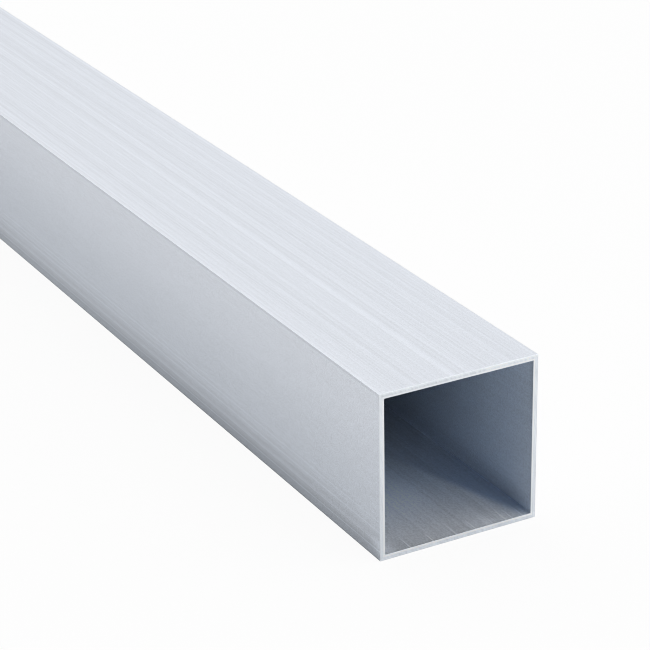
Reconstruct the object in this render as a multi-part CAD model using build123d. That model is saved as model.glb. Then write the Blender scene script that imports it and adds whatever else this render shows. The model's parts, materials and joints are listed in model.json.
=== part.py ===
from build123d import *
import os

# Square aluminium tube: one straight length of extruded hollow section, sawn square at both ends and deburred.
# Sizes are in millimetres. The tube lies level along X on its bottom wall, with +Z up.
# The origin is the middle of its footprint, and the two sawn ends face +X and -X.

# Hollow section, as it leaves the die
side = 50.0
wall = 1.6
outer_corner_radius = 0.2
inner_corner_radius = 0.3

# Cut length, and the bevels that the deburring tool leaves around each sawn end
length = 1000.0
outer_edge_break = 0.1
inner_edge_break = 0.1

# Clear width between opposite walls
bore = side - 2 * wall


def hollow_section():
    """The square ring that is extruded, centred on the tube's axis and facing along X."""
    outline = RectangleRounded(side, side, outer_corner_radius)
    opening = RectangleRounded(bore, bore, inner_corner_radius)
    return Plane.YZ * (outline - opening)


def sawn_length(section):
    """The section drawn out to the cut length and laid on its bottom wall."""
    blank = extrude(section, amount=length / 2, both=True)
    return Pos(0, 0, side / 2) * blank


def deburred(tube):
    """The tube with the sharp outer and inner edges of both sawn ends broken by small bevels."""
    faces_along_tube = tube.faces().sort_by(Axis.X)
    sawn_faces = [faces_along_tube[0], faces_along_tube[-1]]
    outer_edges = [edge for face in sawn_faces for edge in face.outer_wire().edges()]
    inner_edges = [edge for face in sawn_faces for wire in face.inner_wires() for edge in wire.edges()]
    tube = tube.chamfer(outer_edge_break, None, outer_edges)
    return tube.chamfer(inner_edge_break, None, inner_edges)


square_tube = deburred(sawn_length(hollow_section()))
square_tube.label = "square_tube"

os.makedirs("parts", exist_ok=True)
export_step(square_tube, "parts/square_tube.step")
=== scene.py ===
"""Square aluminium tube: the finish of its extruded walls, its bore and its sawn ends, on a pale floor."""

import json
import logging
import math
from dataclasses import dataclass, field
from enum import Enum

import bpy
from mathutils import Matrix, Vector


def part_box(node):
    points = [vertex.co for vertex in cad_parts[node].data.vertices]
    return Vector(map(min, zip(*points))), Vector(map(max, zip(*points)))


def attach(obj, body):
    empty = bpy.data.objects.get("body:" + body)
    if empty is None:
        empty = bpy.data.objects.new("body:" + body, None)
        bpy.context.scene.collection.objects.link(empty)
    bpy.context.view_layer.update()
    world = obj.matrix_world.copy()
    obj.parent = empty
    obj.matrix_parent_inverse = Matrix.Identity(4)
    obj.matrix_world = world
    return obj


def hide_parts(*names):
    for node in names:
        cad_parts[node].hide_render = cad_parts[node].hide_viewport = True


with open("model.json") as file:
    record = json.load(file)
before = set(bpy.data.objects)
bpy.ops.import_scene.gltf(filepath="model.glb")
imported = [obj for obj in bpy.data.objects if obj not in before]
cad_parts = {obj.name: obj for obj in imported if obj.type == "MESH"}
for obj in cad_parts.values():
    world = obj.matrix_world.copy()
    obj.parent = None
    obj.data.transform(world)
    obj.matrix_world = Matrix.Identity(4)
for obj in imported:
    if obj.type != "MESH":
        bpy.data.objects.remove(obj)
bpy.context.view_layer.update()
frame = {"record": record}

log = logging.getLogger("square_tube")

MILLIMETRE = 0.001
QUARTER_TURN = math.pi / 2
SQUARE_SIDES = 4
WHITE = (1.0, 1.0, 1.0, 1.0)

# A Mix node has sockets for every kind of value. These are the numbers of its two colours and of their mix.
MIX_FIRST = 6
MIX_SECOND = 7
MIX_RESULT = 2

# A step is given by where it starts, at 0, and where it ends, at 1.
# A second number below the first makes it fall.
Step = tuple[float, float]
Colour = tuple[float, float, float]
Number = "Value | float | int"


class Value:
    """A socket of a node tree, on which Python's operators add Math nodes."""

    def __init__(self, graph: "Graph", socket: bpy.types.NodeSocket) -> None:
        """Keeps the socket.

        Args:
            graph: the tree that the socket belongs to.
            socket: an output socket.
        """
        self.graph = graph
        self.socket = socket

    def __add__(self, other: Number) -> "Value":
        """Returns this value plus the other."""
        return self.graph.math("ADD", self, other)

    def __radd__(self, other: Number) -> "Value":
        """Returns the other value plus this one."""
        return self.graph.math("ADD", other, self)

    def __sub__(self, other: Number) -> "Value":
        """Returns this value less the other."""
        return self.graph.math("SUBTRACT", self, other)

    def __rsub__(self, other: Number) -> "Value":
        """Returns the other value less this one."""
        return self.graph.math("SUBTRACT", other, self)

    def __mul__(self, other: Number) -> "Value":
        """Returns this value times the other."""
        return self.graph.math("MULTIPLY", self, other)

    def __rmul__(self, other: Number) -> "Value":
        """Returns the other value times this one."""
        return self.graph.math("MULTIPLY", other, self)

    def __truediv__(self, other: Number) -> "Value":
        """Returns this value over the other."""
        return self.graph.math("DIVIDE", self, other)

    def __pow__(self, other: Number) -> "Value":
        """Returns this value to the power of the other."""
        return self.graph.math("POWER", self, other)

    def __abs__(self) -> "Value":
        """Returns the size of this value, without its sign."""
        return self.graph.math("ABSOLUTE", self)


class Graph:
    """A shader or geometry node tree that is being written."""

    def __init__(self, tree: bpy.types.NodeTree) -> None:
        """Keeps the tree.

        Args:
            tree: the node tree to add nodes to.
        """
        self.tree = tree

    def add(self, kind: str, settings: dict | None = None, inputs: dict | None = None) -> bpy.types.Node:
        """Adds one node of any type.

        Args:
            kind: the node's type name.
            settings: its properties, which are set before its sockets.
            inputs: a value or a link for each named or numbered socket.

        Returns:
            The new node.
        """
        node = self.tree.nodes.new(kind)
        for name, setting in (settings or {}).items():
            setattr(node, name, setting)
        for key, value in (inputs or {}).items():
            if isinstance(value, Value):
                self.tree.links.new(value.socket, node.inputs[key])
            else:
                node.inputs[key].default_value = value
        return node

    def value(self, kind: str, settings: dict | None = None, inputs: dict | None = None,
              output: str | int = 0) -> Value:
        """Adds one node and gives one of its outputs.

        Args:
            kind: the node's type name.
            settings: its properties, which are set before its sockets.
            inputs: a value or a link for each named or numbered socket.
            output: the name or number of the output.

        Returns:
            The output as a value.
        """
        return Value(self, self.add(kind, settings, inputs).outputs[output])

    def math(self, operation: str, *terms: Number) -> Value:
        """Adds a Math node.

        Args:
            operation: the node's operation.
            terms: its values or links, in order.

        Returns:
            The result.
        """
        return self.value("ShaderNodeMath", {"operation": operation}, dict(enumerate(terms)))

    def clamped(self, value: Value) -> Value:
        """Returns the value, held between 0 and 1."""
        return self.math("MINIMUM", self.math("MAXIMUM", value, 0.0), 1.0)

    def vector(self, x: Number, y: Number, z: Number) -> Value:
        """Returns a vector made of three numbers."""
        return self.value("ShaderNodeCombineXYZ", inputs={"X": x, "Y": y, "Z": z})

    def parts(self, vector: Value) -> tuple[Value, Value, Value]:
        """Returns the three numbers of a vector."""
        node = self.add("ShaderNodeSeparateXYZ", inputs={0: vector})
        return tuple(Value(self, output) for output in node.outputs)

    def place(self) -> tuple[Value, Value, Value]:
        """Returns the place on the object, in metres."""
        return self.parts(self.value("ShaderNodeTexCoord", output="Object"))

    def rays(self) -> tuple[Value, Value]:
        """Asks where a ray comes from.

        Returns:
            Whether it comes from the camera, and whether it comes from a reflection or through glass.
        """
        kinds = self.add("ShaderNodeLightPath").outputs
        gloss = Value(self, kinds["Is Glossy Ray"]) + Value(self, kinds["Is Transmission Ray"])
        return Value(self, kinds["Is Camera Ray"]), gloss

    def step(self, value: Value, ends: Step, unit: float = 1.0) -> Value:
        """Adds a smooth step.

        Args:
            value: the value to test.
            ends: where the step starts, at 0, and where it ends, at 1.
            unit: the length that the two ends are counted in.

        Returns:
            The step, from 0 to 1.
        """
        start, end = ends
        return self.value("ShaderNodeMapRange", {"interpolation_type": "SMOOTHSTEP", "clamp": True}, {
            "Value": value, "From Min": start * unit, "From Max": end * unit, "To Min": 0.0, "To Max": 1.0,
        })

    def ridge(self, value: Value, middle: float, half_width: float) -> Value:
        """Adds a soft ridge.

        Args:
            value: the place across it.
            middle: where it is highest, at 1.
            half_width: how far from there it has sunk to 0.

        Returns:
            The ridge, from 0 to 1.
        """
        return self.step(abs(value - middle), (half_width, 0.0))

    def mixed(self, factor: Value, first: Colour | Value, second: Colour | Value) -> Value:
        """Adds a mix of two colours.

        Args:
            factor: 0 for the first colour and 1 for the second.
            first: the first colour.
            second: the second colour.

        Returns:
            The mixed colour.
        """
        one, other = (colour if isinstance(colour, Value) else (*colour, 1.0) for colour in (first, second))
        inputs = {"Factor": factor, MIX_FIRST: one, MIX_SECOND: other}
        return self.value("ShaderNodeMix", {"data_type": "RGBA"}, inputs, output=MIX_RESULT)

    def noise(self, place: Value, detail: float) -> Value:
        """Adds smooth noise that has one feature for each unit of its place.

        Args:
            place: the place, already scaled.
            detail: how many finer layers it has.

        Returns:
            The noise, about 0 and within 0.5 of it.
        """
        inputs = {"Vector": place, "Scale": 1.0, "Detail": detail, "Roughness": 0.5}
        return self.value("ShaderNodeTexNoise", {"noise_dimensions": "3D", "normalize": True}, inputs) - 0.5


def shader_graph(name: str) -> tuple[bpy.types.Material, Graph, bpy.types.Node]:
    """Starts a node material.

    Args:
        name: the material's name.

    Returns:
        The material, its graph and its output node.
    """
    material = bpy.data.materials.new(name)
    material.use_nodes = True
    material.node_tree.nodes.clear()
    graph = Graph(material.node_tree)
    return material, graph, graph.add("ShaderNodeOutputMaterial")


def finish_metal(graph: Graph, output: bpy.types.Node, colour: Value, metallic: float, roughness: Value,
                 relief: Value, depth: float) -> None:
    """Ends a metal material with its surface shader.

    Args:
        graph: the material's graph.
        output: its output node.
        colour: the metal's colour.
        metallic: how far it shines as bare metal; a dull oxide layer brings it down.
        roughness: how much it spreads a reflection.
        relief: the height of the surface, about 0.
        depth: how far a relief of 1 stands up, in metres.
    """
    normal = graph.value("ShaderNodeBump", inputs={"Strength": 1.0, "Distance": depth, "Height": relief})
    shader = graph.value("ShaderNodeBsdfPrincipled", inputs={
        "Base Color": colour, "Metallic": metallic, "Roughness": roughness, "Normal": normal,
    })
    graph.tree.links.new(shader.socket, output.inputs["Surface"])


def tinted(graph: Graph, colour: Colour | Value, tone: Value) -> Value:
    """Returns a colour made lighter or darker by a tone that is 1 where it stays."""
    return graph.value("ShaderNodeVectorMath", {"operation": "SCALE"}, {0: colour, "Scale": tone})


@dataclass(frozen=True)
class Pattern:
    """Fine noise over the metal, with so many features to a metre across the tube and along it."""

    across: float
    along: float
    detail: float = 1.0

    def on(self, graph: Graph, place: tuple[Value, Value, Value]) -> Value:
        """Returns the noise at a place on the tube, about 0."""
        x, y, z = place
        return graph.noise(graph.vector(x * self.along, y * self.across, z * self.across), self.detail)


@dataclass(frozen=True)
class DieLineOrPaintedLight:
    """One clear line along the tube, or a band of painted light or shade: its place and half width in
    millimetres, and its change of tone.
    """

    place: float
    half_width: float
    tone: float


def line_and_painted_light_tones(graph: Graph, across: Value, lines: tuple[DieLineOrPaintedLight, ...]) -> Value:
    """Adds up the tones of a wall's clear die lines and of its bands of painted light and shade.

    Args:
        graph: the material's graph.
        across: the place across the wall, in millimetres.
        lines: the lines and bands.

    Returns:
        The change of tone, about 0.
    """
    return sum(graph.ridge(across, line.place, line.half_width) * line.tone for line in lines)


@dataclass(frozen=True)
class ExtrudedFinish:
    """The outside walls as they left the die: satin metal with long lines and a short grain, with painted
    light and painted shade on them.
    """

    side: float
    length: float
    upright_edge: Step = (0.5 * MILLIMETRE, 0.2 * MILLIMETRE)
    flat_edge: Step = (0.4 * MILLIMETRE, 0.15 * MILLIMETRE)
    colour: Colour = (0.784, 0.816, 0.873)
    # Painted shade: the upright walls are painted bluer towards the bottom, most of all in their lowest 5
    # mm, where they reflect the floor's shadow.
    low_shade_colour: Colour = (0.756, 0.800, 0.866)
    low: Step = (62 * MILLIMETRE, 8 * MILLIMETRE)
    foot_shade_colour: Colour = (0.746, 0.800, 0.878)
    edge: Step = (5 * MILLIMETRE, 0.0)
    metallic: float = 1.0
    roughness: float = 0.42
    roughness_spread: float = 0.015
    hair: Pattern = Pattern(1650.0, 1.5)
    hair_tone: float = 0.22
    hair_relief: float = 0.3
    fine: Pattern = Pattern(900.0, 1.5)
    fine_tone: float = 0.02
    fine_relief: float = 0.5
    broad: Pattern = Pattern(135.0, 1.5)
    broad_tone: float = 0.004
    upright_lines: float = 0.10
    foot_lines: float = 0.7
    foot: Step = (15 * MILLIMETRE, 9 * MILLIMETRE)
    streaks: Pattern = Pattern(1500.0, 90.0, 2.0)
    streak_tone: float = 0.10
    upright_streaks: float = -0.4
    grain: Pattern = Pattern(3000.0, 1500.0)
    grain_tone: float = 0.28
    grain_relief: float = 0.2
    upright_grain: float = 0.50
    coarse_grain: Pattern = Pattern(1300.0, 650.0)
    coarse_grain_tone: float = 0.08
    upright_coarse_grain: float = 0.6
    # Painted light: the foot of the upright walls is lighter within a few millimetres of the sawn ends,
    # where the reflected floor shadow gives way.
    end_painted_light: float = 0.20
    end_painted_light_height: float = 4 * MILLIMETRE
    end_painted_light_depth: Step = (7 * MILLIMETRE, 0.0)
    relief_depth: float = 4e-6
    flat_wall_lines_and_painted_light: tuple[DieLineOrPaintedLight, ...] = (
        # The band at 0.05 is a painted highlight along the top's left edge and the one at 5.0 a broad
        # painted shade; the band at 45.0 is broad painted light and the one at 49.2 a painted highlight
        # along the right edge. The others are die lines.
        DieLineOrPaintedLight(0.05, 0.5, 0.075),
        DieLineOrPaintedLight(5.0, 20.0, -0.016),
        DieLineOrPaintedLight(2.6, 1.6, 0.045),
        DieLineOrPaintedLight(6.3, 0.7, -0.026),
        DieLineOrPaintedLight(7.6, 0.6, -0.030),
        DieLineOrPaintedLight(10.0, 0.6, 0.021),
        DieLineOrPaintedLight(11.0, 0.7, 0.021),
        DieLineOrPaintedLight(12.4, 0.9, -0.032),
        DieLineOrPaintedLight(14.9, 0.8, 0.022),
        DieLineOrPaintedLight(20.0, 0.5, -0.024),
        DieLineOrPaintedLight(21.1, 0.5, 0.032),
        DieLineOrPaintedLight(22.8, 0.6, 0.021),
        DieLineOrPaintedLight(24.5, 0.6, -0.021),
        DieLineOrPaintedLight(25.8, 0.7, -0.024),
        DieLineOrPaintedLight(28.3, 0.9, 0.014),
        DieLineOrPaintedLight(30.3, 0.8, -0.018),
        DieLineOrPaintedLight(32.0, 0.5, -0.014),
        DieLineOrPaintedLight(33.0, 0.5, 0.030),
        DieLineOrPaintedLight(34.1, 0.6, -0.016),
        DieLineOrPaintedLight(38.3, 0.7, 0.026),
        DieLineOrPaintedLight(40.2, 1.8, 0.011),
        DieLineOrPaintedLight(42.0, 0.8, -0.027),
        DieLineOrPaintedLight(45.0, 14.0, 0.018),
        DieLineOrPaintedLight(45.4, 0.9, -0.014),
        DieLineOrPaintedLight(47.5, 1.5, -0.022),
        DieLineOrPaintedLight(49.2, 1.0, 0.040),
    )
    upright_wall_lines_and_painted_light: tuple[DieLineOrPaintedLight, ...] = (
        # The first eight bands are painted shade and painted light: a dark foot where the wall reflects the
        # floor's shadow, broad lighter and darker bands up the wall and a dark line under the top edge. The
        # others are die lines.
        DieLineOrPaintedLight(0.0, 0.6, -0.340),
        DieLineOrPaintedLight(0.5, 6.5, -0.220),
        DieLineOrPaintedLight(4.0, 9.0, -0.060),
        DieLineOrPaintedLight(12.0, 12.0, -0.065),
        DieLineOrPaintedLight(11.5, 8.5, 0.050),
        DieLineOrPaintedLight(15.0, 11.0, 0.045),
        DieLineOrPaintedLight(47.0, 34.0, 0.065),
        DieLineOrPaintedLight(49.6, 0.6, -0.120),
        DieLineOrPaintedLight(2.9, 0.25, 0.170),
        DieLineOrPaintedLight(3.5, 0.5, -0.030),
        DieLineOrPaintedLight(4.3, 0.3, 0.030),
        DieLineOrPaintedLight(5.2, 0.3, 0.110),
        DieLineOrPaintedLight(5.6, 0.9, 0.022),
        DieLineOrPaintedLight(6.7, 0.9, -0.030),
        DieLineOrPaintedLight(7.5, 0.25, 0.035),
        DieLineOrPaintedLight(8.75, 0.3, 0.110),
        DieLineOrPaintedLight(9.5, 0.4, -0.035),
        DieLineOrPaintedLight(10.6, 0.25, 0.035),
        DieLineOrPaintedLight(11.8, 0.3, 0.060),
        DieLineOrPaintedLight(12.4, 0.35, -0.030),
        DieLineOrPaintedLight(13.6, 0.3, 0.030),
    )

    def material(self) -> bpy.types.Material:
        """Writes the finish as nodes.

        Returns:
            The node material.
        """
        material, graph, output = shader_graph("extruded_aluminium")
        place = graph.place()
        x, y, z = place
        half = self.side / 2
        upright = graph.step(half - abs(y), self.upright_edge)
        flat = graph.step(half - abs(z - half), self.flat_edge)
        hair, fine, broad = (pattern.on(graph, place) for pattern in (self.hair, self.fine, self.broad))
        more_at_foot = graph.step(z, self.foot) * (self.foot_lines - self.upright_lines)
        drawn = 1.0 + upright * (self.upright_lines + more_at_foot - 1.0)
        lines = (hair * self.hair_tone + fine * self.fine_tone + broad * self.broad_tone) * drawn
        # Die lines, with painted highlights, painted light and painted shade among them.
        clear = (line_and_painted_light_tones(graph, (y + half) / MILLIMETRE, self.flat_wall_lines_and_painted_light) * flat
                 + line_and_painted_light_tones(graph, z / MILLIMETRE, self.upright_wall_lines_and_painted_light) * upright)
        streaks, grain, coarse = (pattern.on(graph, place)
                                  for pattern in (self.streaks, self.grain, self.coarse_grain))
        speckle = (streaks * (self.streak_tone * (1.0 + upright * self.upright_streaks))
                   + grain * (self.grain_tone * (1.0 + upright * self.upright_grain))
                   + coarse * (self.coarse_grain_tone * (1.0 + upright * self.upright_coarse_grain)))
        # Painted light at the foot of the upright walls near the sawn ends.
        end_light = (graph.ridge(z, self.end_painted_light_height, self.end_painted_light_height)
                * graph.step(self.length / 2 - abs(x), self.end_painted_light_depth) * self.end_painted_light * upright)
        tone = 1.0 + clear + lines + speckle + end_light
        # Painted shade: bluer colour low on the upright walls.
        colour = graph.mixed(upright * graph.step(z, self.low), self.colour, self.low_shade_colour)
        colour = graph.mixed(upright * graph.step(z, self.edge), colour, self.foot_shade_colour)
        roughness = self.roughness + fine * drawn * self.roughness_spread
        relief = (fine * self.fine_relief + hair * self.hair_relief) * drawn + grain * self.grain_relief
        finish_metal(graph, output, tinted(graph, colour, tone), self.metallic, roughness, relief,
                     self.relief_depth)
        return material


@dataclass(frozen=True)
class PaintedFloorPatch:
    """A soft patch of painted light, with a tone above 0, or of painted shade, with a tone below 0, on the
    floor of the bore, on the same side at both mouths.

    Its place across the tube is in shares of the side, and its depth is in millimetres.
    """

    across: Step
    depth: Step
    tone: float

    def on(self, graph: Graph, y: Value, side: float, depth: Value) -> Value:
        """Adds the patch.

        Args:
            graph: the material's graph.
            y: the place across the tube.
            side: the tube's side.
            depth: how far in from the mouth.

        Returns:
            The change of tone.
        """
        return graph.step(y, self.across, side) * graph.step(depth, self.depth, MILLIMETRE) * self.tone


@dataclass(frozen=True)
class BoreFinish:
    """The inside walls: dull metal with long lines and short bright scratches at the mouths, painted darker
    and bluer deeper in, with more painted light and shade.
    """

    side: float
    length: float
    wall: float
    floor_edge: Step = (0.5 * MILLIMETRE, 0.3 * MILLIMETRE)
    mouth_colour: Colour = (0.832, 0.848, 0.874)
    # Painted shade: the bore turns from the mouth colour to this darker, bluer colour deeper in, sooner
    # along the right wall's foot, and partly on the walls, most near their foot.
    bluish_shade_colour: Colour = (0.672, 0.765, 0.888)
    floor_bluish_shade: Step = (0.0, 44 * MILLIMETRE)
    corner_bluish_shade: float = 3.6
    corner_bluish_shade_start: float = 15 * MILLIMETRE
    wall_bluish_shade: float = 0.44
    wall_bluish_shade_height: Step = (14 * MILLIMETRE, 0.0)
    # Painted shade: a dark bluish wedge on the floor along the right wall, widening deeper in, where the
    # wall shades the floor.
    corner_shade_colour: Colour = (0.392, 0.480, 0.625)
    # The next step is in shares of the side, and so is the lintel's height below.
    corner_across: Step = (0.40, 0.48)
    corner_slant: float = 0.3
    corner_near: Step = (-2 * MILLIMETRE, 6.5 * MILLIMETRE)
    corner_far: Step = (75 * MILLIMETRE, 25 * MILLIMETRE)
    # Painted shade: the bore is painted darker deeper in from the mouths.
    deep_shade_colour: Colour = (0.448, 0.500, 0.572)
    deep: Step = (12 * MILLIMETRE, 85 * MILLIMETRE)
    metallic: float = 0.45
    roughness: float = 0.5
    roughness_spread: float = 0.1
    # Painted light: the bore's walls are painted lighter than its floor.
    wall_painted_light_tone: float = 0.07
    # Painted shade: the foot of the bore's walls is painted darker, fading in from the mouths and out far
    # in.
    foot_shade_tone: float = -0.31
    foot_height: Step = (8 * MILLIMETRE, 0.0)
    foot_near: Step = (-6.4 * MILLIMETRE, 12.8 * MILLIMETRE)
    foot_far: Step = (60 * MILLIMETRE, 16 * MILLIMETRE)
    # Painted highlight: a bright line along the seams between the bore's floor and walls, fading in from the
    # mouths.
    seam_highlight_tone: float = 0.24
    seam_width: Step = (0.35 * MILLIMETRE, 0.0)
    seam_depth: Step = (3 * MILLIMETRE, 14 * MILLIMETRE)
    # Painted shade: a thin dark band just inside the mouths.
    lip_shade_tone: float = -0.12
    lip_depth: Step = (1.0 * MILLIMETRE, 0.2 * MILLIMETRE)
    # Painted shade: the upper parts of the bore's walls and its ceiling are painted darker just inside the
    # mouths.
    lintel_shade_tone: float = -0.10
    lintel_height: Step = (0.5, 0.9)
    lintel_depth: Step = (3 * MILLIMETRE, 0.0)
    painted_floor_patches: tuple[PaintedFloorPatch, ...] = (
        # Painted shade at the mouth, painted light deep on the left and painted light in the left corner at
        # the mouth.
        PaintedFloorPatch((0.18, -0.06), (9.0, 0.0), -0.10),
        PaintedFloorPatch((0.16, -0.02), (8.0, 30.0), 0.24),
        PaintedFloorPatch((-0.37, -0.43), (6.5, 3.5), 0.16),
    )
    hair: Pattern = Pattern(1300.0, 1.5)
    hair_tone: float = 0.18
    hair_relief: float = 0.3
    fine: Pattern = Pattern(520.0, 1.5)
    fine_tone: float = 0.17
    fine_relief: float = 0.4
    broad: Pattern = Pattern(150.0, 1.5)
    broad_tone: float = 0.085
    wall_lines: float = 0.6
    grain: Pattern = Pattern(2300.0, 1380.0)
    grain_tone: float = 0.46
    grain_relief: float = 0.3
    relief_depth: float = 4e-6
    scratch_fade: Step = (8 * MILLIMETRE, 2.4 * MILLIMETRE)
    scratch_ends_per_metre: float = 300.0
    scratch_spread: float = 4 * MILLIMETRE
    scratches: tuple[DieLineOrPaintedLight, ...] = (
        DieLineOrPaintedLight(8.1, 0.35, 0.40),
        DieLineOrPaintedLight(15.3, 0.35, 0.47),
        DieLineOrPaintedLight(22.8, 0.40, 0.29),
        DieLineOrPaintedLight(28.9, 0.35, 0.36),
        DieLineOrPaintedLight(34.7, 0.30, 0.29),
        DieLineOrPaintedLight(35.9, 0.25, 0.22),
        DieLineOrPaintedLight(38.9, 0.40, 0.40),
        DieLineOrPaintedLight(41.0, 0.30, 0.29),
        DieLineOrPaintedLight(44.3, 0.45, 0.22),
        # Painted reflection: a broad light band on the floor at the mouths.
        DieLineOrPaintedLight(33.4, 2.2, 0.09),
    )
    floor_lines: tuple[DieLineOrPaintedLight, ...] = (
        DieLineOrPaintedLight(6.0, 1.2, -0.06),
        DieLineOrPaintedLight(18.7, 0.9, -0.05),
        DieLineOrPaintedLight(27.1, 1.0, -0.08),
        DieLineOrPaintedLight(37.1, 0.8, -0.04),
    )

    def material(self) -> bpy.types.Material:
        """Writes the finish as nodes.

        Returns:
            The node material.
        """
        material, graph, output = shader_graph("bore_aluminium")
        place = graph.place()
        x, y, z = place
        depth = self.length / 2 - abs(x)
        height = z - self.wall
        inner_half = self.side / 2 - self.wall
        on_floor = graph.step(height, self.floor_edge)
        patterns = (self.hair, self.fine, self.broad, self.grain)
        hair, fine, broad, grain = (pattern.on(graph, place) for pattern in patterns)
        tone = (1.0 + self.line_tone(graph, y, depth, on_floor, hair, fine, broad) + grain * self.grain_tone
                + self.shade(graph, y, depth, height, on_floor))
        # Painted shade along the right wall's foot.
        corner = (on_floor * graph.step(y + depth * self.corner_slant, self.corner_across, self.side)
                  * graph.step(depth, self.corner_near) * graph.step(depth, self.corner_far))
        # Painted shade, darker and bluer deeper in the bore, along the right wall and at the walls' foot.
        beyond = graph.math("MAXIMUM", y - self.corner_bluish_shade_start, 0.0)
        floor_bluish_shade = graph.step(depth + beyond * self.corner_bluish_shade, self.floor_bluish_shade)
        wall_bluish_shade = self.wall_bluish_shade + graph.step(height, self.wall_bluish_shade_height) * (1.0 - self.wall_bluish_shade)
        bluish_shade = graph.math("MAXIMUM", floor_bluish_shade, wall_bluish_shade * (1.0 - on_floor))
        colour = graph.mixed(bluish_shade, self.mouth_colour, self.bluish_shade_colour)
        colour = graph.mixed(corner, colour, self.corner_shade_colour)
        # Painted shade deep in the bore.
        colour = graph.mixed(graph.step(depth, self.deep), colour, self.deep_shade_colour)
        relief = fine * self.fine_relief + hair * self.hair_relief + grain * self.grain_relief
        finish_metal(graph, output, tinted(graph, colour, tone), self.metallic,
                     self.roughness + fine * self.roughness_spread, relief, self.relief_depth)
        return material

    def line_tone(self, graph: Graph, y: Value, depth: Value, on_floor: Value, hair: Value, fine: Value,
                  broad: Value) -> Value:
        """Adds up the long lines, the short scratches and a painted reflection at the mouth.

        Args:
            graph: the material's graph.
            y: the place across the tube.
            depth: how far in from the mouth.
            on_floor: 1 on the floor of the bore and 0 on its other walls.
            hair: noise of the finest lines.
            fine: noise of the fine lines.
            broad: noise of the broad lines.

        Returns:
            The change of tone.
        """
        drawn = self.wall_lines + on_floor * (1.0 - self.wall_lines)
        lines = (hair * self.hair_tone + fine * self.fine_tone + broad * self.broad_tone) * drawn
        ends = graph.noise(graph.vector(y * self.scratch_ends_per_metre, 0.0, 0.0), 2.0)
        scratched = graph.step(depth + ends * (2 * self.scratch_spread), self.scratch_fade)
        across = (y + (self.side / 2 - self.wall)) / MILLIMETRE
        clear = (line_and_painted_light_tones(graph, across, self.scratches) * scratched
                 + line_and_painted_light_tones(graph, across, self.floor_lines))
        return lines + clear * on_floor

    def shade(self, graph: Graph, y: Value, depth: Value, height: Value, on_floor: Value) -> Value:
        """Adds up the painted light and painted shade on the bore's walls and floor.

        Args:
            graph: the material's graph.
            y: the place across the tube.
            depth: how far in from the mouth.
            height: how far up from the floor of the bore.
            on_floor: 1 on the floor of the bore and 0 on its other walls.

        Returns:
            The change of tone.
        """
        foot = (graph.step(height, self.foot_height) * graph.step(depth, self.foot_near)
                * graph.step(depth, self.foot_far) * self.foot_shade_tone)
        walls = (self.wall_painted_light_tone + foot) * (1.0 - on_floor)
        from_wall = self.side / 2 - self.wall - abs(y)
        seam_highlight = (graph.step(graph.math("MAXIMUM", from_wall, height), self.seam_width)
                * graph.step(depth, self.seam_depth) * self.seam_highlight_tone)
        lip_shade = graph.step(depth, self.lip_depth) * self.lip_shade_tone
        lintel_shade = (graph.step(height, self.lintel_height, self.side) * graph.step(depth, self.lintel_depth)
                  * self.lintel_shade_tone)
        painted_patches = sum(patch.on(graph, y, self.side, depth) for patch in self.painted_floor_patches) * on_floor
        return walls + seam_highlight + lip_shade + lintel_shade + painted_patches


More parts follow.
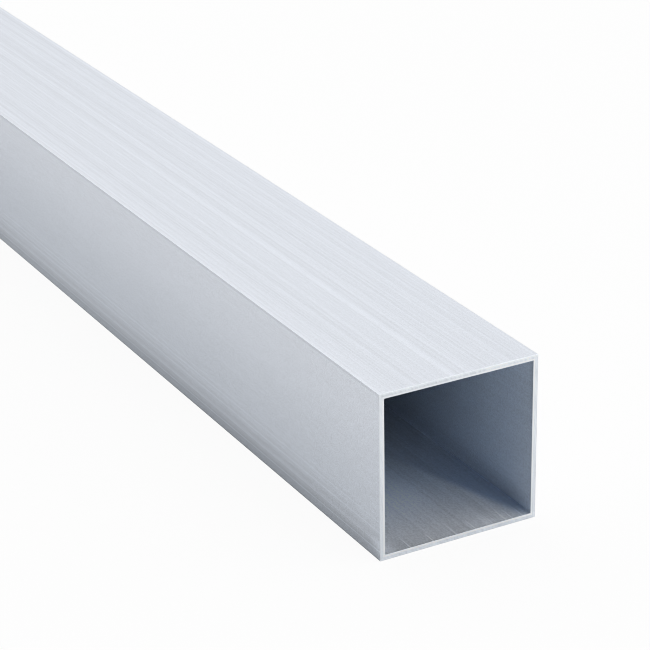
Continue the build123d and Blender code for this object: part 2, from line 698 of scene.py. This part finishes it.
@dataclass(frozen=True)
class SawnFinish:
    """The cut ends and their deburred edges: bright metal with the saw blade's long arcs, with painted
    highlights and painted shade along the edges and over the end.
    """

    side: float
    wall: float
    colour: Colour = (0.887, 0.932, 0.985)
    metallic: float = 0.8
    roughness: float = 0.42
    roughness_spread: float = 0.1
    blade_radius: float = 0.15
    marks_per_metre: float = 1300.0
    mark_drift_per_metre: float = 15.0
    mark_tone: float = 0.34
    mark_depth: float = 5e-6
    grain: Pattern = Pattern(2600.0, 2600.0)
    grain_tone: float = 0.13
    # The steps of the foot, the top and the way down the high left are in wall thicknesses.
    # Those across and up the sawn end are in shares of the side.
    foot: Step = (1.3, 0.8)
    # Painted shade: the foot of the sawn end is painted a little darker.
    foot_shade_tone: float = -0.01
    top: Step = (0.6, 0.4)
    top_marks: float = 0.35
    # Painted highlight: a bright band along the top outer edge of the sawn end, widening the edge's own
    # highlight.
    top_highlight_place: float = 0.32 * MILLIMETRE
    top_highlight_width: float = 0.30 * MILLIMETRE
    top_highlight_tone: float = 0.12
    # Painted shade: the lower right and the upper left of the sawn end are painted darker.
    low_right_across: Step = (0.0, 0.4)
    low_right_up: Step = (0.7, 0.0)
    low_right_shade_tone: float = -0.08
    low_right_at_foot: float = -0.8
    high_left_across: Step = (0.3, 0.0)
    high_left_down: Step = (1.3, 0.8)
    high_left_shade_tone: float = -0.06
    # Painted highlight: a bright band along the inner edge of the sawn end, brighter at the foot.
    inner_edge_highlight_place: float = 0.32 * MILLIMETRE
    inner_edge_highlight_width: float = 0.34 * MILLIMETRE
    inner_edge_highlight_tone: float = 0.16
    foot_inner_edge_highlight: float = 0.26
    # Painted shade: a dark band along the outer edge of the sawn end, darker at the foot and weaker at the
    # top.
    outer_edge_shade: Step = (0.3 * MILLIMETRE, 0.0)
    outer_edge_shade_tone: float = -0.09
    outer_edge_shade_at_foot: float = 0.6
    outer_edge_shade_at_top: float = -0.6
    # Painted shade: a dark line along the inner edge of the right wall's sawn end.
    right_lip_shade: Step = (0.25 * MILLIMETRE, 0.0)
    right_lip_start: float = 0.4
    right_lip_shade_tone: float = -0.26

    def material(self) -> bpy.types.Material:
        """Writes the finish as nodes.

        Returns:
            The node material.
        """
        material, graph, output = shader_graph("sawn_aluminium")
        place = graph.place()
        x, y, z = place
        half = self.side / 2
        from_hub = graph.math("SQRT", (y + self.blade_radius) ** 2.0 + z ** 2.0)
        arcs = graph.vector(from_hub * self.marks_per_metre, x, z * self.mark_drift_per_metre)
        marks = graph.noise(arcs, 2.0)
        out_of_middle = graph.math("MAXIMUM", abs(y), abs(z - half))
        from_inner_edge = out_of_middle - (half - self.wall)
        from_outer_edge = half - out_of_middle
        from_top = self.side - z
        foot = graph.step(z, self.foot, self.wall)
        top = graph.step(from_top, self.top, self.wall)
        # Painted highlight along the inner edge.
        inner_edge_highlight = graph.ridge(from_inner_edge, self.inner_edge_highlight_place, self.inner_edge_highlight_width)
        # Painted shade along the outer edge.
        outer_edge_shade = graph.step(from_outer_edge, self.outer_edge_shade)
        # Painted highlight along the top outer edge.
        top_highlight = top * graph.ridge(from_outer_edge, self.top_highlight_place, self.top_highlight_width)
        # Painted shade at the lower right and the upper left.
        low_right_shade = (graph.step(y, self.low_right_across, self.side)
                     * graph.step(z, self.low_right_up, self.side) * (1.0 + foot * self.low_right_at_foot))
        high_left_shade = (graph.step(y, self.high_left_across, self.side)
                     * graph.step(from_top, self.high_left_down, self.wall))
        # Painted shade along the right rim's inner edge.
        right_lip_shade = (graph.step(from_inner_edge, self.right_lip_shade)
                     * graph.step(y, (self.right_lip_start * self.side, half - self.wall)))
        mark_tone = self.mark_tone * (1.0 + top * self.top_marks) * (1.0 - inner_edge_highlight) * (1.0 - outer_edge_shade)
        outer_edge_shade_share = 1.0 + foot * self.outer_edge_shade_at_foot + top * self.outer_edge_shade_at_top
        tone = (1.0 + marks * mark_tone + self.grain.on(graph, place) * self.grain_tone
                + inner_edge_highlight * (self.inner_edge_highlight_tone + foot * self.foot_inner_edge_highlight)
                + outer_edge_shade * outer_edge_shade_share * self.outer_edge_shade_tone
                + low_right_shade * self.low_right_shade_tone + high_left_shade * self.high_left_shade_tone
                + top_highlight * self.top_highlight_tone + foot * self.foot_shade_tone + right_lip_shade * self.right_lip_shade_tone)
        finish_metal(graph, output, tinted(graph, self.colour, tone), self.metallic,
                     self.roughness + marks * self.roughness_spread, marks, self.mark_depth)
        return material


class Region(Enum):
    """The regions of the tube's surface that have a finish of their own."""

    OUTSIDE = "Outside finish"
    BORE = "Bore finish"
    SAWN = "Sawn finish"


@dataclass
class SquareTube:
    """The tube: a rounded square section run along a wall whose sawn ends have broken edges."""

    side: float
    length: float
    wall: float
    outer_corner_radius: float = 0.2 * MILLIMETRE
    inner_corner_radius: float = 0.3 * MILLIMETRE
    outer_edge_break: float = 0.15 * MILLIMETRE
    inner_edge_break: float = 0.08 * MILLIMETRE
    break_wander: float = 0.15
    wander_per_metre: float = 900.0
    points_along_side: int = 100
    points_around_corner: int = 5
    points_across_wall: int = 8
    points_around_edge: int = 4
    sawn_reach: float = 1.0 * MILLIMETRE
    finishes: dict[Region, bpy.types.Material] = field(default_factory=dict)

    NODE = "square_tube"
    SLOT = "aluminium"
    BODY = "root"
    MERGE_DISTANCE = 1e-6

    @classmethod
    def from_frame(cls, record: dict) -> "SquareTube":
        """Reads the tube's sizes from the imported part.

        Args:
            record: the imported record.

        Returns:
            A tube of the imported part's size.
        """
        low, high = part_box(cls.NODE)
        sawn_end = next(mount for mount in record["mounts"] if mount["name"] == "near_sawn_end")
        half_wall = high.z - sawn_end["pos_m"][2]
        return cls(side=high.z - low.z, length=high.x - low.x, wall=2 * half_wall)

    def sizes(self) -> dict[str, float | int]:
        """Returns the named inputs of the node tree, with their values."""
        return {
            "Side": self.side,
            "Length": self.length,
            "Wall": self.wall,
            "Outer corner radius": self.outer_corner_radius,
            "Inner corner radius": self.inner_corner_radius,
            "Outer edge break": self.outer_edge_break,
            "Inner edge break": self.inner_edge_break,
            "Break wander": self.break_wander,
            "Wander per metre": self.wander_per_metre,
            "Points along side": self.points_along_side,
            "Points around corner": self.points_around_corner,
            "Points across wall": self.points_across_wall,
            "Points around edge": self.points_around_edge,
            "Sawn reach": self.sawn_reach,
        }

    def rounded_loop(self, graph: Graph, index: Value, along: Value, around: Value,
                     halves: tuple[Value, Value], radii: tuple[Value, Value]) -> tuple[Value, Value]:
        """Places points around a rectangle with rounded corners, from where its first corner starts.

        Args:
            graph: the node tree.
            index: the point's number.
            along: points along each straight side.
            around: points around each corner.
            halves: half the rectangle's two sides.
            radii: the corner radius of this quarter and of the next one.

        Returns:
            The point's two coordinates.
        """
        in_quarter = along + around
        quarter = graph.math("FLOOR", (index + 0.5) / in_quarter)
        step = index - quarter * in_quarter
        turn = graph.clamped(step / around) * QUARTER_TURN
        run = graph.clamped((step - around) / along)
        odd = graph.math("FLOORED_MODULO", quarter, 2.0)
        across = halves[0] + (halves[1] - halves[0]) * odd
        up = halves[1] + (halves[0] - halves[1]) * odd
        radius, next_radius = radii
        straight = across * 2.0 - radius - next_radius
        u = across - radius + radius * graph.math("COSINE", turn) - run * straight
        v = up - radius + radius * graph.math("SINE", turn)
        angle = quarter * QUARTER_TURN
        cosine = graph.math("COSINE", angle)
        sine = graph.math("SINE", angle)
        return u * cosine - v * sine, u * sine + v * cosine

    def wrapped(self, graph: Graph, size: dict[str, Value]) -> Value:
        """Wraps a grid twice, into the closed skin of the tube.

        Its columns go around the square section. Its rows go around the wall itself: along the outside,
        across the far sawn end, back through the bore and across the near sawn end.

        Args:
            graph: the node tree.
            size: the tree's named inputs.

        Returns:
            The skin, with its faces outwards.
        """
        along_side, around_corner = size["Points along side"], size["Points around corner"]
        across_wall, around_edge = size["Points across wall"], size["Points around edge"]
        outer_radius, inner_radius = size["Outer corner radius"], size["Inner corner radius"]
        outer_break, inner_break = size["Outer edge break"], size["Inner edge break"]
        half_side = size["Side"] * 0.5
        half_wall = size["Wall"] * 0.5

        columns = (along_side + around_corner) * SQUARE_SIDES
        rows = (across_wall + around_edge) * SQUARE_SIDES
        grid = graph.value("GeometryNodeMeshGrid", inputs={
            "Size X": columns, "Size Y": rows, "Vertices X": columns + 1.0, "Vertices Y": rows + 1.0,
        })
        grid_x, grid_y, _ = graph.parts(graph.value("GeometryNodeInputPosition"))
        column = graph.math("ROUND", grid_x + columns * 0.5)
        row = graph.math("ROUND", grid_y + rows * 0.5)

        rough_y, rough_z = self.rounded_loop(graph, column, along_side, around_corner,
                                             (half_side, half_side), (outer_radius, outer_radius))
        place = graph.vector(rough_y * size["Wander per metre"], rough_z * size["Wander per metre"], 0.0)
        wander = 1.0 + graph.noise(place, 2.0) * size["Break wander"] * 2.0

        # Quarters 2 and 3 of the loop around the wall start at an inner edge. Quarters 1 and 2 lead to one.
        quarter = graph.math("FLOOR", (row + 0.5) / (across_wall + around_edge))
        inner = graph.math("GREATER_THAN", quarter, 1.5) * graph.math("LESS_THAN", quarter, 3.5)
        next_inner = graph.math("GREATER_THAN", quarter, 0.5) * graph.math("LESS_THAN", quarter, 2.5)
        edge = (outer_break + (inner_break - outer_break) * inner) * wander
        next_edge = (outer_break + (inner_break - outer_break) * next_inner) * wander
        along, from_middle = self.rounded_loop(graph, row, across_wall, around_edge,
                                               (size["Length"] * 0.5, half_wall), (edge, next_edge))

        depth = half_wall - from_middle
        radius = outer_radius + (inner_radius - outer_radius) * (depth / size["Wall"])
        half = half_side - depth
        across, up = self.rounded_loop(graph, column, along_side, around_corner, (half, half),
                                       (radius, radius))
        shaped = graph.value("GeometryNodeSetPosition", inputs={
            "Geometry": grid, "Position": graph.vector(along, across, up + half_side),
        })
        closed = graph.value("GeometryNodeMergeByDistance", inputs={
            "Geometry": shaped, "Distance": self.MERGE_DISTANCE,
        })
        outward = graph.value("GeometryNodeFlipFaces", inputs={"Mesh": closed})
        return graph.value("GeometryNodeSetShadeSmooth", inputs={"Geometry": outward, "Shade Smooth": True})

    def dressed(self, graph: Graph, size: dict[str, Value], finishes: dict[Region, Value],
                skin: Value) -> Value:
        """Puts each region's finish on the skin.

        Args:
            graph: the node tree.
            size: the tree's named inputs.
            finishes: the finish of each region.
            skin: the tube's skin.

        Returns:
            The skin with its finishes.
        """
        x, y, z = graph.parts(graph.value("GeometryNodeInputPosition"))
        half_side = size["Side"] * 0.5
        out_of_middle = graph.math("MAXIMUM", abs(y), abs(z - half_side))
        masks = {
            Region.OUTSIDE: True,
            Region.BORE: graph.math("LESS_THAN", out_of_middle, half_side - size["Wall"] * 0.5),
            Region.SAWN: graph.math("GREATER_THAN", abs(x), size["Length"] * 0.5 - size["Sawn reach"]),
        }
        for region, mask in masks.items():
            skin = graph.value("GeometryNodeSetMaterial", inputs={
                "Geometry": skin, "Selection": mask, "Material": finishes[region],
            })
        return skin

    def tree(self) -> bpy.types.NodeTree:
        """Writes the geometry node tree that makes the tube.

        Returns:
            The node tree.
        """
        tree = bpy.data.node_groups.new("sawn_square_tube", "GeometryNodeTree")
        for name, size in self.sizes().items():
            kind = "NodeSocketInt" if isinstance(size, int) else "NodeSocketFloat"
            tree.interface.new_socket(name, in_out="INPUT", socket_type=kind)
        for region in Region:
            tree.interface.new_socket(region.value, in_out="INPUT", socket_type="NodeSocketMaterial")
        tree.interface.new_socket("Tube", in_out="OUTPUT", socket_type="NodeSocketGeometry")
        graph = Graph(tree)
        given = graph.add("NodeGroupInput").outputs
        size = {name: Value(graph, given[name]) for name in self.sizes()}
        finishes = {region: Value(graph, given[region.value]) for region in Region}
        real = graph.value("GeometryNodeRealizeInstances", inputs={"Geometry": self.wrapped(graph, size)})
        graph.add("NodeGroupOutput", inputs={"Tube": self.dressed(graph, size, finishes, real)})
        return tree

    def build(self) -> bpy.types.Object:
        """Makes the tube's mesh and hands it to the frame.

        Returns:
            The finished piece.
        """
        tree = self.tree()
        carrier = bpy.data.objects.new("tube_carrier", bpy.data.meshes.new("tube_carrier"))
        bpy.context.scene.collection.objects.link(carrier)
        modifier = carrier.modifiers.new("tube", "NODES")
        modifier.node_group = tree
        values = {**self.sizes(), **{region.value: self.finishes[region] for region in Region}}
        for item in tree.interface.items_tree:
            if item.item_type == "SOCKET" and item.in_out == "INPUT":
                modifier[item.identifier] = values[item.name]
        weighted = carrier.modifiers.new("flat_walls", "WEIGHTED_NORMAL")
        weighted.keep_sharp = True
        evaluated = carrier.evaluated_get(bpy.context.evaluated_depsgraph_get())
        mesh = bpy.data.meshes.new_from_object(evaluated)
        bpy.data.objects.remove(carrier)
        for index in reversed([i for i, material in enumerate(mesh.materials) if material is None]):
            mesh.materials.pop(index=index)
        mesh.name = "dressed_tube"
        tube = bpy.data.objects.new("dressed_tube", mesh)
        bpy.context.scene.collection.objects.link(tube)
        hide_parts(self.NODE)
        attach(tube, self.BODY)
        log.info("%s: %d vertices, %d faces, %s", tube.name, len(mesh.vertices), len(mesh.polygons),
                 [material.name for material in mesh.materials])
        return tube


@dataclass(frozen=True)
class StudioFloor:
    """A pale floor that looks white to the camera and keeps the tube's soft shadow."""

    half_size: float = 15.0
    drop: float = 0.05 * MILLIMETRE
    albedo: float = 0.95
    white_to_camera: float = 0.935
    white_to_gloss: float = 0.15
    far_glow: float = 0.22
    glow_along: Step = (0.43, 0.24)
    glow_across: Step = (43 * MILLIMETRE, 25 * MILLIMETRE)

    def material(self) -> bpy.types.Material:
        """Writes the floor's finish as nodes.

        Returns:
            The node material.
        """
        material, graph, output = shader_graph("studio_floor")
        paper = graph.value("ShaderNodeBsdfDiffuse", inputs={
            "Color": (self.albedo, self.albedo, self.albedo, 1.0), "Roughness": 0.0,
        })
        white = graph.value("ShaderNodeEmission", inputs={"Color": WHITE, "Strength": 1.0})
        x, y, _ = graph.place()
        glow = graph.step(x, self.glow_along) * graph.step(abs(y), self.glow_across) * self.far_glow
        camera, gloss = graph.rays()
        share = camera * self.white_to_camera + gloss * (self.white_to_gloss + glow)
        mixed = graph.value("ShaderNodeMixShader", inputs={"Fac": graph.clamped(share), 1: paper, 2: white})
        graph.tree.links.new(mixed.socket, output.inputs["Surface"])
        return material

    def build(self) -> bpy.types.Object:
        """Makes the floor.

        Returns:
            The floor.
        """
        half = self.half_size
        outline = ((-half, -half), (half, -half), (half, half), (-half, half))
        corners = [(x, y, -self.drop) for x, y in outline]
        mesh = bpy.data.meshes.new("floor")
        mesh.from_pydata(corners, [], [(0, 1, 2, 3)])
        mesh.materials.append(self.material())
        floor = bpy.data.objects.new("floor", mesh)
        bpy.context.scene.collection.objects.link(floor)
        log.info("floor: %.1f m across", 2 * half)
        return floor


def direction(azimuth: float, elevation: float) -> Vector:
    """Returns the unit vector towards a bearing and a rise in degrees; a bearing of 0 is -Y and 90 is +X."""
    turn, rise = math.radians(azimuth), math.radians(elevation)
    return Vector((math.sin(turn) * math.cos(rise), -math.cos(turn) * math.cos(rise), math.sin(rise)))


@dataclass(frozen=True)
class SoftLamp:
    """A far, wide lamp: a bright patch of the studio's ceiling or wall, the same for the whole tube."""

    name: str
    azimuth: float
    elevation: float
    strength: float
    spread: float = 30.0

    def build(self) -> bpy.types.Object:
        """Makes the lamp.

        Returns:
            The lamp.
        """
        data = bpy.data.lights.new(self.name, "SUN")
        data.energy = self.strength
        data.angle = math.radians(self.spread)
        lamp = bpy.data.objects.new(self.name, data)
        back = direction(self.azimuth, self.elevation)
        lamp.location = back
        lamp.rotation_euler = (-back).to_track_quat("-Z", "Y").to_euler()
        bpy.context.scene.collection.objects.link(lamp)
        log.info("%s: strength %.2f", self.name, self.strength)
        return lamp


@dataclass(frozen=True)
class PhotoCamera:
    """The camera, at the photograph's angle: it looks along the tube from in front of its near end."""

    lens: float = 134.38
    sensor: float = 36.0
    azimuth: float = 61.543
    elevation: float = 23.867
    roll: float = 1.010
    distance: float = 0.6776
    aim_behind_near_end: float = 46.82 * MILLIMETRE
    aim_from_left_edge: float = 9.715 * MILLIMETRE
    filter_width: float = 1.0

    def build(self, tube: SquareTube) -> bpy.types.Object:
        """Makes the scene's camera.

        Args:
            tube: the tube that it looks at.

        Returns:
            The camera.
        """
        aim_along = tube.length / 2 - self.aim_behind_near_end
        aim_across = self.aim_from_left_edge - tube.side / 2
        aim = Vector((aim_along, aim_across, tube.side))
        back = direction(self.azimuth, self.elevation)
        level = (-back).to_track_quat("-Z", "Y").to_matrix().to_4x4()
        roll = Matrix.Rotation(math.radians(-self.roll), 4, "Z")
        camera = bpy.data.objects.new("photo_camera", bpy.data.cameras.new("photo_camera"))
        camera.data.lens = self.lens
        camera.data.sensor_width = self.sensor
        camera.matrix_world = Matrix.Translation(aim + back * self.distance) @ level @ roll
        bpy.context.scene.collection.objects.link(camera)
        bpy.context.scene.camera = camera
        bpy.context.scene.cycles.filter_width = self.filter_width
        log.info("%s: lens %.1f mm, %.3f m from its aim", camera.name, self.lens, self.distance)
        return camera


@dataclass(frozen=True)
class Studio:
    """The plain pale room: a faint even sky, wide soft lamps and the floor."""

    sky_strength: float = 0.1
    white_to_gloss: float = 0.1
    floor: StudioFloor = StudioFloor()
    lamps: tuple[SoftLamp, ...] = (
        SoftLamp("right_high_light", 180, 50, 0.39, 70.0),
        SoftLamp("right_low_light", 180, 15, 0.61, 60.0),
        SoftLamp("right_front_light", 120, 38, 1.15, 75.0),
        SoftLamp("far_end_high_light", 270, 60, 1.16, 90.0),
        SoftLamp("far_end_light", 270, 50, 0.16),
        SoftLamp("right_back_light", 242, 23, 0.041),
    )

    def sky(self) -> bpy.types.World:
        """Makes the even white surroundings, which the camera sees as plain white.

        Returns:
            The world.
        """
        world = bpy.data.worlds.new("studio_sky")
        world.use_nodes = True
        world.node_tree.nodes.clear()
        graph = Graph(world.node_tree)
        camera, gloss = graph.rays()
        strength = self.sky_strength + camera * (1.0 - self.sky_strength) + gloss * self.white_to_gloss
        background = graph.value("ShaderNodeBackground", inputs={"Color": WHITE, "Strength": strength})
        graph.add("ShaderNodeOutputWorld", inputs={"Surface": background})
        bpy.context.scene.world = world
        return world

    def build(self) -> None:
        """Makes the sky, the lamps and the floor."""
        self.sky()
        self.floor.build()
        for lamp in self.lamps:
            lamp.build()
        bpy.context.scene.view_settings.view_transform = "Standard"


def main() -> None:
    """Builds the tube, the studio and the camera, and reports each piece."""
    logging.basicConfig(level=logging.INFO, format="%(name)s: %(message)s")
    tube = SquareTube.from_frame(frame["record"])
    tube.finishes = {
        Region.OUTSIDE: ExtrudedFinish(tube.side, tube.length).material(),
        Region.BORE: BoreFinish(tube.side, tube.length, tube.wall).material(),
        Region.SAWN: SawnFinish(tube.side, tube.wall).material(),
    }
    log.info("tube: side %.4f m, length %.4f m, wall %.4f m", tube.side, tube.length, tube.wall)
    tube.build()
    Studio().build()
    PhotoCamera().build(tube)


if __name__ == "__main__":
    main()
